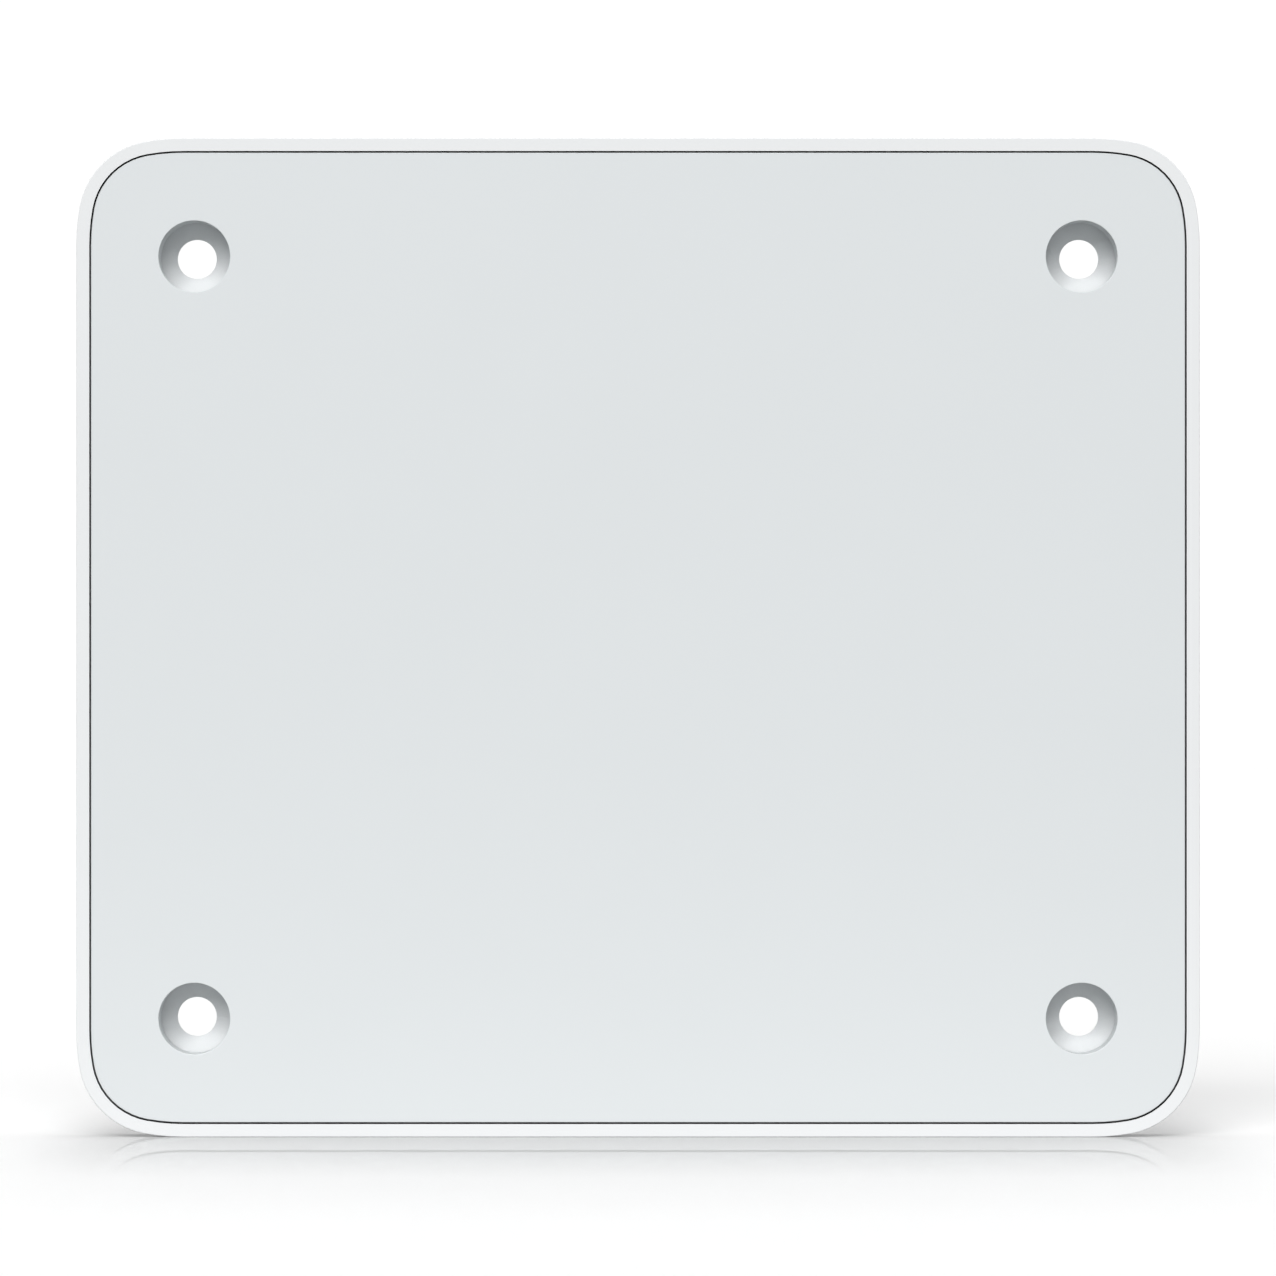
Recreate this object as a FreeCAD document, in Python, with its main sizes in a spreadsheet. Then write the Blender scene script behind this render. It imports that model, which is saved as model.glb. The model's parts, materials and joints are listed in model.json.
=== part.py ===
"""Recessed ceiling access point, as one parametric document.

A slim white housing with a light grey front plate is screwed to the ceiling through its four
corners. The electronics sit behind it in a cast box that goes into an opening in the ceiling.

Frame: the origin is the centre of the housing's ceiling-side plane, +X to the right and +Z up as
seen from the room, +Y into the ceiling. Heights are distances from that plane towards the room, so
a height is minus Y: the front stands at positive heights and the box at negative ones.
"""
import FreeCAD, Part
import math
import os
from types import SimpleNamespace

import Sketcher

SHEET_NAME = "Sizes"

# Driving dimensions in millimetres, with the alias that names each cell.
DRIVING_SIZES = {
    # Housing and its outline, whose corners are three tangent arcs each.
    "panel_width": 140.0,
    "panel_height": 124.5,
    "panel_depth": 9.0,
    "corner_radius": 10.0,
    "lead_radius": 27.84,
    "corner_centre": 10.27,
    "lip_width": 1.62,
    "lip_round": 0.12,
    "rear_round": 0.5,
    "ledge_width": 3.0,
    "floor_thickness": 2.0,
    # Front plate and its adhesive.
    "plate_gap": 0.2,
    "plate_recess": 0.1,
    "plate_thickness": 2.2,
    "plate_round": 0.1,
    "hole_lip_round": 0.1,
    "adhesive_thickness": 0.3,
    "adhesive_margin": 0.15,
    # Four screw holes to the ceiling.
    "mount_spacing_x": 110.6,
    "mount_spacing_z": 95.0,
    "counterbore_radius": 4.45,
    "mount_hole_radius": 2.45,
    "mount_hole_land": 0.6,
    "tube_radius": 6.0,
    # Opening in the housing floor, with its corners cut off.
    "opening_width": 84.0,
    "opening_height": 68.0,
    "opening_cut": 11.8,
    # Shallow round marks that the mould's ejector pins leave on the ceiling side.
    "ejector_radius": 2.5,
    "ejector_depth": 0.1,
    "ejector_x": 62.0,
    "ejector_z": 54.5,
    # Recessed box.
    "box_width": 92.0,
    "box_height": 76.0,
    "box_depth": 22.5,
    "box_corner": 8.0,
    "box_wall": 2.0,
    "box_seat_depth": 0.5,
    "box_seat_gap": 0.2,
    "box_edge_round": 1.0,
    "fin_height": 5.5,
    "fin_thickness": 1.6,
    "fin_pitch": 5.5,
    "fin_bottom": -7.0,
    "fin_top": 31.0,
    "fin_end_round": 0.75,
    "fin_tip_round": 0.45,
    # Screws that hold the box to the housing.
    "box_screw_x": 40.0,
    "box_screw_z": 32.0,
    "column_radius": 4.5,
    "boss_radius": 4.0,
    "boss_height": 6.0,
    "box_hole_radius": 1.7,
    "box_head_pocket_radius": 3.2,
    "box_head_pocket_depth": 2.4,
    "pocket_rim": 0.3,
    "box_screw_length": 25.0,
    "box_screw_radius": 1.5,
    "box_head_radius": 2.75,
    "box_head_height": 2.2,
    "cross_length": 3.0,
    "cross_width": 0.8,
    "cross_depth": 1.3,
    "head_round": 0.7,
    "insert_radius": 2.1,
    "insert_length": 4.0,
    "insert_blind_space": 0.9,
    "fit_gap": 0.02,
    # Main board.
    "board_width": 84.0,
    "board_height": 68.0,
    "board_notch_x": 34.5,
    "board_notch_z": 26.5,
    "board_front": -4.6,
    "board_thickness": 1.6,
    "standoff_x": 38.0,
    "standoff_z": 20.0,
    "post_radius": 3.0,
    "stud_radius": 1.25,
    "stud_length": 6.6,
    "stud_hole_radius": 1.4,
    "post_bore_depth": 6.0,
    "standoff_across": 5.0,
    # Antenna reflector.
    "reflector_front": -1.2,
    "reflector_thickness": 0.8,
    "small_screw_radius": 1.0,
    "small_screw_length": 3.0,
    "small_head_radius": 1.9,
    "small_head_height": 1.3,
    "small_clearance_radius": 1.15,
    "small_cross_length": 2.2,
    "small_cross_width": 0.55,
    "small_cross_depth": 0.7,
    "small_head_round": 0.4,
    # Antennas, bent from sheet.
    "sheet_thickness": 0.4,
    "antenna_top_height": 5.4,
    "antenna_foot": 4.0,
    "short_arm": 14.0,
    "short_arm_width": 6.0,
    "short_arm_z": 22.0,
    "long_arm": 29.0,
    "long_arm_width": 7.0,
    "long_arm_x": 28.0,
    "feed_offset": 3.0,
    "feed_width": 0.9,
    "feed_clearance": 1.0,
    # Screening cans and chips on the board's rear side.
    "can_thickness": 0.25,
    "can_depth": 2.8,
    "processor_can_x": -8.0,
    "processor_can_z": -3.0,
    "processor_can_width": 34.0,
    "processor_can_height": 27.0,
    "radio_can_x": -21.0,
    "radio_can_width": 22.0,
    "upper_radio_can_z": 22.5,
    "upper_radio_can_height": 16.0,
    "lower_radio_can_z": -26.5,
    "lower_radio_can_height": 13.0,
    "pad_thickness": 1.0,
    "pad_edge": 2.0,
    "processor_x": -1.0,
    "processor_side": 17.0,
    "processor_depth": 1.6,
    "memory_x": -18.0,
    "memory_width": 8.0,
    "memory_height": 13.0,
    "memory_depth": 1.1,
    "flash_z": -25.0,
    "flash_width": 8.0,
    "flash_height": 6.0,
    "flash_depth": 1.2,
    "radio_chip_side": 9.0,
    "radio_chip_depth": 0.9,
    # Parts that pass network data and power, beside the cans.
    "magnetics_x": 18.0,
    "magnetics_z": 8.5,
    "magnetics_width": 16.0,
    "magnetics_height": 10.0,
    "magnetics_depth": 5.6,
    "inductor_x": 13.0,
    "inductor_z": -27.0,
    "inductor_side": 7.0,
    "inductor_depth": 4.0,
    "transformer_x": 33.5,
    "transformer_z": -1.0,
    "bobbin_width": 12.0,
    "bobbin_height": 14.0,
    "bobbin_depth": 2.0,
    "core_side": 13.0,
    "core_depth": 8.0,
    "core_window_x": 3.25,
    "core_window_width": 2.5,
    "core_window_height": 9.0,
    "winding_clearance": 0.1,
    "winding_depth": 8.5,
    "capacitor_x": 25.5,
    "capacitor_upper_z": -17.5,
    "capacitor_lower_z": -27.5,
    "capacitor_base_side": 8.3,
    "capacitor_base_depth": 1.4,
    "capacitor_radius": 4.0,
    "capacitor_can_depth": 8.6,
    "capacitor_round": 0.3,
    # Modular jack.
    "jack_x": 18.0,
    "jack_width": 16.0,
    "jack_depth": 13.4,
    "jack_length": 21.0,
    "jack_mouth_recess": 0.5,
    "jack_wall_gap": 0.2,
    "shell_thickness": 0.25,
    "shell_gap": 0.05,
    "plug_width": 11.8,
    "plug_depth": 6.8,
    "plug_length": 14.0,
    "plug_roof": 2.8,
    "latch_width": 4.2,
    "latch_depth": 2.4,
    "contact_pitch": 1.02,
    "contact_width": 0.4,
    "contact_thickness": 0.35,
    "contact_drop": 2.4,
    "contact_length": 9.0,
    "contact_inset": 1.5,
    "light_width": 3.0,
    "light_depth": 1.8,
    "light_length": 5.0,
    "light_offset": 5.8,
    "light_inset": 1.0,
    # Reset switch and button.
    "reset_x": -1.0,
    "switch_width": 6.0,
    "switch_depth": 4.3,
    "switch_length": 3.5,
    "switch_front_z": 32.0,
    "switch_bore_radius": 1.1,
    "switch_bore_depth": 1.6,
    "stem_radius": 0.9,
    "stem_inside": 0.8,
    "stem_outside": 1.7,
    "reset_below_board": 2.5,
    "button_radius": 1.5,
    "button_hole_radius": 1.8,
    "button_proud": 0.4,
    "button_flange_radius": 2.4,
    "button_flange_thickness": 0.8,
    "button_flange_gap": 0.1,
    "button_round": 0.3,
    # Label on the rear.
    "label_width": 48.0,
    "label_height": 18.0,
    "label_centre_z": -21.0,
    "label_thickness": 0.15,
    "label_corner": 1.5,
}


class Length:
    """A size as both the sheet expression that gives it and its present value."""

    def __init__(self, text, value):
        self.text = text
        self.value = value

    def __add__(self, other):
        other = as_length(other)
        return Length(f"({self.text} + {other.text})", self.value + other.value)

    def __sub__(self, other):
        other = as_length(other)
        return Length(f"({self.text} - {other.text})", self.value - other.value)

    def __mul__(self, factor):
        return Length(f"({self.text} * {factor})", self.value * factor)

    def __truediv__(self, divisor):
        return Length(f"({self.text} / {divisor})", self.value / divisor)

    def __neg__(self):
        return Length(f"(-{self.text})", -self.value)

    def __rsub__(self, other):
        return as_length(other) - self

    __radd__ = __add__
    __rmul__ = __mul__


def as_length(item):
    return item if isinstance(item, Length) else Length(f"{item:.6f}", float(item))


def make_sheet(doc):
    """Fill the spreadsheet and return its cells as named lengths."""
    sheet = doc.addObject("Spreadsheet::Sheet", SHEET_NAME)
    for row, (alias, value) in enumerate(DRIVING_SIZES.items(), start=1):
        sheet.set(f"A{row}", alias)
        sheet.set(f"B{row}", str(value))
        sheet.setAlias(f"B{row}", alias)
    doc.recompute()
    cells = {alias: Length(f"{SHEET_NAME}.{alias}", sheet.get(alias)) for alias in DRIVING_SIZES}
    return SimpleNamespace(**cells)


# Sketch helpers. Points and sizes are lengths, and each becomes a constraint bound to the sheet.

def new_body(doc, label):
    body = doc.addObject("PartDesign::Body", label)
    body.Label = label
    body.AllowCompound = True
    return body


def new_sketch(body, name, role, offset):
    """A sketch on the body's origin plane with this role, moved along the plane's normal."""
    sketch = body.newObject("Sketcher::SketchObject", f"{body.Label}_{name}")
    plane = next(item for item in body.Origin.OriginFeatures if item.Role == role)
    sketch.AttachmentSupport = [(plane, "")]
    sketch.MapMode = "FlatFace"
    sketch.setExpression("AttachmentOffset.Base.z", as_length(offset).text)
    return sketch


def front_sketch(body, name, height):
    """A sketch facing the room at this height, whose axes are X and Z."""
    return new_sketch(body, name, "XZ_Plane", height)


def bind_constraint(sketch, constraint, size):
    index = sketch.addConstraint(constraint)
    sketch.setExpression(f"Constraints[{index}]", size.text)


def bind_point(sketch, geometry, vertex, across, along):
    """Fix a geometry's vertex at these two sketch coordinates."""
    for kind, size in (("DistanceX", across), ("DistanceY", along)):
        constraint = Sketcher.Constraint(kind, -1, 1, geometry, vertex, size.value)
        bind_constraint(sketch, constraint, size)


def add_polygon(sketch, points):
    """A closed polygon through points given as pairs of lengths."""
    points = [(as_length(across), as_length(along)) for across, along in points]
    corners = [FreeCAD.Vector(across.value, along.value, 0) for across, along in points]
    lines = []
    for start, end in zip(corners, corners[1:] + corners[:1]):
        lines.append(sketch.addGeometry(Part.LineSegment(start, end)))
    for line, following in zip(lines, lines[1:] + lines[:1]):
        sketch.addConstraint(Sketcher.Constraint("Coincident", line, 2, following, 1))
    for line, (across, along) in zip(lines, points):
        bind_point(sketch, line, 1, across, along)


def add_rectangle(sketch, left, right, bottom, top):
    add_polygon(sketch, [(left, bottom), (right, bottom), (right, top), (left, top)])


def add_centred(sketch, across, along, width, height):
    """A rectangle centred on a point."""
    across = as_length(across)
    along = as_length(along)
    half_width = as_length(width) / 2
    half_height = as_length(height) / 2
    add_rectangle(sketch, across - half_width, across + half_width,
                  along - half_height, along + half_height)


def add_circle(sketch, across, along, radius):
    across = as_length(across)
    along = as_length(along)
    centre = FreeCAD.Vector(across.value, along.value, 0)
    circle = sketch.addGeometry(Part.Circle(centre, FreeCAD.Vector(0, 0, 1), radius.value))
    bind_point(sketch, circle, 3, across, along)
    bind_constraint(sketch, Sketcher.Constraint("Radius", circle, radius.value), radius)


def corners(half_x, half_z):
    """The four corners of a centred rectangle, counter-clockwise from the top right."""
    return [(half_x, half_z), (-half_x, half_z), (-half_x, -half_z), (half_x, -half_z)]


def arc_of(centre_x, centre_z, radius, start_degrees, sweep_degrees):
    circle = Part.Circle(FreeCAD.Vector(centre_x, centre_z, 0), FreeCAD.Vector(0, 0, 1), radius)
    start = math.radians(start_degrees)
    return Part.ArcOfCircle(circle, start, start + math.radians(sweep_degrees))


def add_panel_outline(sketch, s, inset):
    """The housing's outline moved inwards, with a tight arc between two wide ones per corner.

    Every inset outline shares the same arc centres, so the gap between two of them is even.
    """
    inset = as_length(inset)
    half_x = s.panel_width / 2
    half_z = s.panel_height / 2
    tight = s.corner_radius - inset
    wide = s.lead_radius - inset
    reach = s.lead_radius.value - s.corner_radius.value
    lead = math.degrees(math.acos((s.lead_radius - s.corner_centre).value / reach))
    chain = []
    for quarter, (side_x, side_z) in enumerate(((1, 1), (-1, 1), (-1, -1), (1, -1))):
        centre_x = (half_x - s.corner_centre) * side_x
        centre_z = (half_z - s.corner_centre) * side_z
        first_angle = 90 * quarter
        for start, sweep, radius in ((0, lead, wide), (lead, 90 - 2 * lead, tight),
                                     (90 - lead, lead, wide)):
            back = math.radians(first_angle + (lead if start == 0 else 90 - lead))
            shift = radius.value - tight.value
            arc = sketch.addGeometry(arc_of(centre_x.value - shift * math.cos(back),
                                            centre_z.value - shift * math.sin(back),
                                            radius.value, first_angle + start, sweep))
            bind_constraint(sketch, Sketcher.Constraint("Radius", arc, radius.value), radius)
            chain.append(arc)
            if radius is tight:
                bind_point(sketch, arc, 3, centre_x, centre_z)
        chain.append(None)
    add_straight_sides(sketch, chain, half_x - inset, half_z - inset)
    join_tangent(sketch, chain)


def add_rounded_rectangle(sketch, middle_z, width, height, radius):
    """A rectangle with rounded corners, centred on X = 0 at this Z."""
    chain = []
    for quarter, (side_x, side_z) in enumerate(((1, 1), (-1, 1), (-1, -1), (1, -1))):
        centre_x = (width / 2 - radius) * side_x
        centre_z = (height / 2 - radius) * side_z + middle_z
        arc = sketch.addGeometry(arc_of(centre_x.value, centre_z.value, radius.value, 90 * quarter, 90))
        bind_constraint(sketch, Sketcher.Constraint("Radius", arc, radius.value), radius)
        chain += [arc, None]
    add_straight_sides(sketch, chain, width / 2, height / 2, middle_z)
    join_tangent(sketch, chain)


def join_tangent(sketch, chain):
    """Close a chain of lines and arcs, each tangent to the one before it."""
    for item, following in zip(chain, chain[1:] + chain[:1]):
        sketch.addConstraint(Sketcher.Constraint("Tangent", item, 2, following, 1))


def add_straight_sides(sketch, chain, half_x, half_z, middle_z=0):
    """Replace each gap in a chain of arcs with the straight side that closes it."""
    sides = (("Horizontal", "DistanceY", half_z + middle_z), ("Vertical", "DistanceX", -half_x),
             ("Horizontal", "DistanceY", middle_z - half_z), ("Vertical", "DistanceX", half_x))
    gaps = [index for index, item in enumerate(chain) if item is None]
    for index, (direction, kind, distance) in zip(gaps, sides):
        start = sketch.getPoint(chain[index - 1], 2)
        end = sketch.getPoint(chain[(index + 1) % len(chain)], 1)
        line = sketch.addGeometry(Part.LineSegment(start, end))
        sketch.addConstraint(Sketcher.Constraint(direction, line))
        bind_constraint(sketch, Sketcher.Constraint(kind, -1, 1, line, 1, distance.value), distance)
        chain[index] = line


# Feature helpers.

def add_pad(body, sketch, length, midplane=False, reverse=False):
    pad = body.newObject("PartDesign::Pad", f"{sketch.Name}_pad")
    pad.Profile = sketch
    pad.setExpression("Length", as_length(length).text)
    pad.Midplane = midplane
    pad.Reversed = reverse
    return pad


def add_pocket(body, sketch, depth, reverse=False):
    """Cut away from the sketch's normal, or along it, and insist that material goes."""
    body.Document.recompute()
    before = body.Shape.Volume
    pocket = body.newObject("PartDesign::Pocket", f"{sketch.Name}_pocket")
    pocket.Profile = sketch
    pocket.setExpression("Length", as_length(depth).text)
    pocket.Reversed = reverse
    body.Document.recompute()
    if body.Shape.Volume >= before:
        raise RuntimeError(f"{pocket.Name} cuts nothing")
    return pocket


def add_dressing(body, kind, name, edges, size_property, size):
    """A fillet or chamfer on the edges of the body's tip that pass a test."""
    body.Document.recompute()
    base = body.Tip
    names = [f"Edge{index}" for index, edge in enumerate(base.Shape.Edges, start=1) if edges(edge)]
    if not names:
        raise RuntimeError(f"{body.Label} has no edge for {name}")
    dressing = body.newObject(kind, f"{body.Label}_{name}")
    dressing.Base = (base, names)
    dressing.setExpression(size_property, size.text)
    return dressing


def add_fillet(body, name, edges, radius):
    return add_dressing(body, "PartDesign::Fillet", name, edges, "Radius", radius)


TOLERANCE = 1e-4


def lies_at_height(edge, height):
    """True for an edge that lies whole in the plane at this height."""
    box = edge.BoundBox
    return abs(box.YMin + height.value) < TOLERANCE and abs(box.YMax + height.value) < TOLERANCE


def runs_along_y(edge):
    """True for a straight edge parallel to Y."""
    box = edge.BoundBox
    return box.XLength < TOLERANCE and box.ZLength < TOLERANCE and box.YLength > TOLERANCE


def is_circle(edge, radius):
    return isinstance(edge.Curve, Part.Circle) and abs(edge.Curve.Radius - radius.value) < TOLERANCE


def block(doc, label, places, width, height, top, depth):
    """A body of one or more rectangular blocks that hang from one height away from the room."""
    body = new_body(doc, label)
    sketch = front_sketch(body, "outline", top)
    for across, along in places:
        add_centred(sketch, across, along, width, height)
    add_pad(body, sketch, depth, reverse=True)
    return body


# Heights that several pieces share.

def ledge_height(s):
    return s.panel_depth - s.plate_recess - s.plate_thickness - s.adhesive_thickness


def cone_seat_height(s):
    """Where a 90 degree countersink starts, above its short straight hole."""
    return s.mount_hole_land + s.counterbore_radius - s.mount_hole_radius


def board_rear(s):
    return s.board_front - s.board_thickness


def box_floor(s):
    return s.box_wall - s.box_depth


def can_top(s):
    return board_rear(s) - s.can_depth


def pad_top(s):
    return can_top(s) - s.pad_thickness


def mount_centres(s):
    return corners(s.mount_spacing_x / 2, s.mount_spacing_z / 2)


def box_screw_centres(s):
    return corners(s.box_screw_x, s.box_screw_z)


def standoff_centres(s):
    return corners(s.standoff_x, s.standoff_z)


# Housing, front plate and adhesive.

def make_housing(doc, s):
    body = new_body(doc, "housing")
    outline = front_sketch(body, "outline", 0)
    add_panel_outline(outline, s, 0)
    add_pad(body, outline, s.panel_depth)
    add_fillet(body, "front_edge", lambda edge: lies_at_height(edge, s.panel_depth), s.lip_round)
    add_fillet(body, "rear_edge", lambda edge: lies_at_height(edge, as_length(0)), s.rear_round)

    recess = front_sketch(body, "plate_recess", s.panel_depth)
    add_panel_outline(recess, s, s.lip_width)
    add_pocket(body, recess, s.panel_depth - ledge_height(s))

    cavity = front_sketch(body, "cavity", ledge_height(s))
    add_panel_outline(cavity, s, s.lip_width + s.ledge_width)
    add_pocket(body, cavity, ledge_height(s) - s.floor_thickness)

    pads = front_sketch(body, "tube_seats", s.floor_thickness)
    for across, along in mount_centres(s):
        add_circle(pads, across, along, s.tube_radius)
    add_pad(body, pads, cone_seat_height(s) - s.floor_thickness)

    bosses = front_sketch(body, "insert_bosses", s.floor_thickness)
    for across, along in box_screw_centres(s):
        add_circle(bosses, across, along, s.boss_radius)
    add_pad(body, bosses, s.boss_height - s.floor_thickness)

    cut_housing_openings(body, s)
    cut_ejector_marks(body, s)
    return body


def cut_ejector_marks(body, s):
    """Marks at the middle of each side and beside each corner, outside the box."""
    marks = front_sketch(body, "ejector_marks", 0)
    for side in (1, -1):
        add_circle(marks, s.ejector_x * side, 0, s.ejector_radius)
        add_circle(marks, 0, s.ejector_z * side, s.ejector_radius)
        for other in (1, -1):
            add_circle(marks, s.ejector_x / 2 * side, s.ejector_z * other, s.ejector_radius)
            add_circle(marks, s.ejector_x * side, s.ejector_z / 2 * other, s.ejector_radius)
    add_pocket(body, marks, s.ejector_depth, reverse=True)


def cut_housing_openings(body, s):
    """Opening for the box, its seat, the insert holes and the countersunk screw holes."""
    seat = front_sketch(body, "box_seat", 0)
    add_rounded_rectangle(seat, 0, s.box_width + s.box_seat_gap * 2, s.box_height + s.box_seat_gap * 2,
                          s.box_corner + s.box_seat_gap)
    add_pocket(body, seat, s.box_seat_depth, reverse=True)

    half_x = s.opening_width / 2
    half_z = s.opening_height / 2
    short_x = half_x - s.opening_cut
    short_z = half_z - s.opening_cut
    opening = front_sketch(body, "opening", s.floor_thickness)
    add_polygon(opening, [(half_x, -short_z), (half_x, short_z), (short_x, half_z),
                          (-short_x, half_z), (-half_x, short_z), (-half_x, -short_z),
                          (-short_x, -half_z), (short_x, -half_z)])
    add_pocket(body, opening, s.floor_thickness)

    inserts = front_sketch(body, "insert_holes", 0)
    for across, along in box_screw_centres(s):
        add_circle(inserts, across, along, s.insert_radius)
    add_pocket(body, inserts, s.box_seat_depth + s.insert_length + s.insert_blind_space, reverse=True)

    holes = front_sketch(body, "mount_holes", s.floor_thickness)
    for across, along in mount_centres(s):
        add_circle(holes, across, along, s.mount_hole_radius)
    pocket = add_pocket(body, holes, s.panel_depth)
    pocket.Midplane = True

    add_dressing(body, "PartDesign::Chamfer", "countersinks",
                 lambda edge: (is_circle(edge, s.mount_hole_radius)
                               and lies_at_height(edge, cone_seat_height(s))),
                 "Size", s.counterbore_radius - s.mount_hole_radius)


def make_front_plate(doc, s):
    body = new_body(doc, "front_plate")
    rear = s.panel_depth - s.plate_recess - s.plate_thickness
    front = s.panel_depth - s.plate_recess
    outline = front_sketch(body, "outline", rear)
    add_panel_outline(outline, s, s.lip_width + s.plate_gap)
    add_pad(body, outline, s.plate_thickness)
    tubes = front_sketch(body, "tubes", cone_seat_height(s))
    for across, along in mount_centres(s):
        add_circle(tubes, across, along, s.tube_radius)
    add_pad(body, tubes, front - cone_seat_height(s))
    bores = front_sketch(body, "bores", front)
    for across, along in mount_centres(s):
        add_circle(bores, across, along, s.counterbore_radius)
    add_pocket(body, bores, front)
    add_fillet(body, "hole_lips",
               lambda edge: is_circle(edge, s.counterbore_radius) and lies_at_height(edge, front),
               s.hole_lip_round)
    add_fillet(body, "front_edge",
               lambda edge: (lies_at_height(edge, front)
                             and not is_circle(edge, s.counterbore_radius + s.hole_lip_round)),
               s.plate_round)
    return body


def make_plate_adhesive(doc, s):
    body = new_body(doc, "plate_adhesive")
    ring = front_sketch(body, "ring", ledge_height(s))
    add_panel_outline(ring, s, s.lip_width + s.plate_gap + s.adhesive_margin)
    add_panel_outline(ring, s, s.lip_width + s.ledge_width - s.adhesive_margin)
    add_pad(body, ring, s.adhesive_thickness)
    return body


# Recessed box.

def make_back_box(doc, s):
    body = new_body(doc, "back_box")
    outline = front_sketch(body, "outline", -s.box_depth)
    add_rounded_rectangle(outline, 0, s.box_width, s.box_height, s.box_corner)
    add_pad(body, outline, s.box_depth + s.box_seat_depth)
    add_fillet(body, "rear_edge", lambda edge: lies_at_height(edge, -s.box_depth), s.box_edge_round)

    cavity = front_sketch(body, "cavity", s.box_seat_depth)
    add_rounded_rectangle(cavity, 0, s.box_width - s.box_wall * 2, s.box_height - s.box_wall * 2,
                          s.box_corner - s.box_wall)
    add_pocket(body, cavity, s.box_seat_depth - box_floor(s))
    add_box_posts(body, s)
    add_box_fins(body, s)
    cut_box_holes(body, s)
    return body


def add_box_posts(body, s):
    """Corner columns, board posts and the blocks that carry heat to the rear wall."""
    columns = front_sketch(body, "columns", box_floor(s))
    for across, along in box_screw_centres(s):
        add_circle(columns, across, along, s.column_radius)
    add_pad(body, columns, s.box_seat_depth - box_floor(s))
    posts = front_sketch(body, "board_posts", box_floor(s))
    for across, along in standoff_centres(s):
        add_circle(posts, across, along, s.post_radius)
    add_pad(body, posts, board_rear(s) - box_floor(s))
    blocks = front_sketch(body, "heat_blocks", box_floor(s))
    for across, along, width, height in hot_cans(s).values():
        add_centred(blocks, across, along, width - s.pad_edge * 2, height - s.pad_edge * 2)
    add_pad(body, blocks, pad_top(s) - box_floor(s))


FIN_COUNT = 13


def add_box_fins(body, s):
    fins = front_sketch(body, "fins", -s.box_depth)
    for index in range(FIN_COUNT):
        centre = s.fin_pitch * (index - FIN_COUNT // 2)
        add_rectangle(fins, centre - s.fin_thickness / 2, centre + s.fin_thickness / 2,
                      s.fin_bottom, s.fin_top)
    add_pad(body, fins, s.fin_height, reverse=True)
    add_fillet(body, "fin_ends",
               lambda edge: runs_along_y(edge) and abs(edge.Length - s.fin_height.value) < TOLERANCE,
               s.fin_end_round)
    add_fillet(body, "fin_tips", lambda edge: lies_at_height(edge, -(s.box_depth + s.fin_height)),
               s.fin_tip_round)


def cut_box_holes(body, s):
    """Screw holes, post bores, and the jack and button openings in the upper wall."""
    pockets = front_sketch(body, "head_pockets", -s.box_depth)
    for across, along in box_screw_centres(s):
        add_circle(pockets, across, along, s.box_head_pocket_radius)
    add_pocket(body, pockets, s.box_head_pocket_depth, reverse=True)
    add_dressing(body, "PartDesign::Chamfer", "pocket_rims",
                 lambda edge: (is_circle(edge, s.box_head_pocket_radius)
                               and lies_at_height(edge, -s.box_depth)),
                 "Size", s.pocket_rim)
    holes = front_sketch(body, "screw_holes", s.box_seat_depth)
    for across, along in box_screw_centres(s):
        add_circle(holes, across, along, s.box_hole_radius)
    add_pocket(body, holes, s.box_depth + s.box_seat_depth)
    bores = front_sketch(body, "post_bores", board_rear(s))
    for across, along in standoff_centres(s):
        add_circle(bores, across, along, s.stud_radius + s.fit_gap)
    add_pocket(body, bores, s.post_bore_depth)

    outside = s.box_height / 2
    window = new_sketch(body, "jack_window", "XY_Plane", outside)
    jack_middle = board_rear(s) - s.jack_depth / 2
    add_centred(window, s.jack_x, -jack_middle,
                s.jack_width + s.jack_wall_gap * 2, s.jack_depth + s.jack_wall_gap * 2)
    add_circle(window, s.reset_x, s.reset_below_board - board_rear(s), s.button_hole_radius)
    add_pocket(body, window, s.box_wall)


def make_box_screws(doc, s):
    seat = s.box_head_pocket_depth - s.box_depth
    return screw_group(doc, "box_screws", box_screw_centres(s), seat,
                       (s.box_screw_radius - s.fit_gap, s.box_screw_length),
                       (s.box_head_radius, s.box_head_height, s.head_round),
                       (s.cross_length, s.cross_width, s.cross_depth), head_at_rear=True)


def screw_group(doc, label, centres, seat, shank, head, cross, head_at_rear):
    """Cross-recessed screws whose heads bear on the plane at the seat height."""
    body = new_body(doc, label)
    shank_radius, shank_length = shank
    head_radius, head_height, head_round = head
    shanks = front_sketch(body, "shanks", seat)
    heads = front_sketch(body, "heads", seat)
    for across, along in centres:
        add_circle(shanks, across, along, shank_radius)
        add_circle(heads, across, along, head_radius)
    add_pad(body, heads, head_height, reverse=head_at_rear)
    add_pad(body, shanks, shank_length, reverse=not head_at_rear)
    end = seat - head_height if head_at_rear else seat + head_height
    add_fillet(body, "head_edge", lambda edge: lies_at_height(edge, end), head_round)
    recess = front_sketch(body, "recess", end)
    for across, along in centres:
        add_cross(recess, across, along, cross[0] / 2, cross[1] / 2)
    add_pocket(body, recess, cross[2], reverse=head_at_rear)
    return body


def add_cross(sketch, across, along, reach, half):
    """A plus sign of two crossing bars, drawn as one closed outline."""
    across = as_length(across)
    along = as_length(along)
    turns = ((1, 0), (0, 1), (-1, 0), (0, -1))
    points = []
    for ahead_x, ahead_z in turns:
        side_x, side_z = -ahead_z, ahead_x
        points.append((across + reach * ahead_x - half * side_x, along + reach * ahead_z - half * side_z))
        points.append((across + reach * ahead_x + half * side_x, along + reach * ahead_z + half * side_z))
        points.append((across + half * (ahead_x + side_x), along + half * (ahead_z + side_z)))
    add_polygon(sketch, points)


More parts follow.
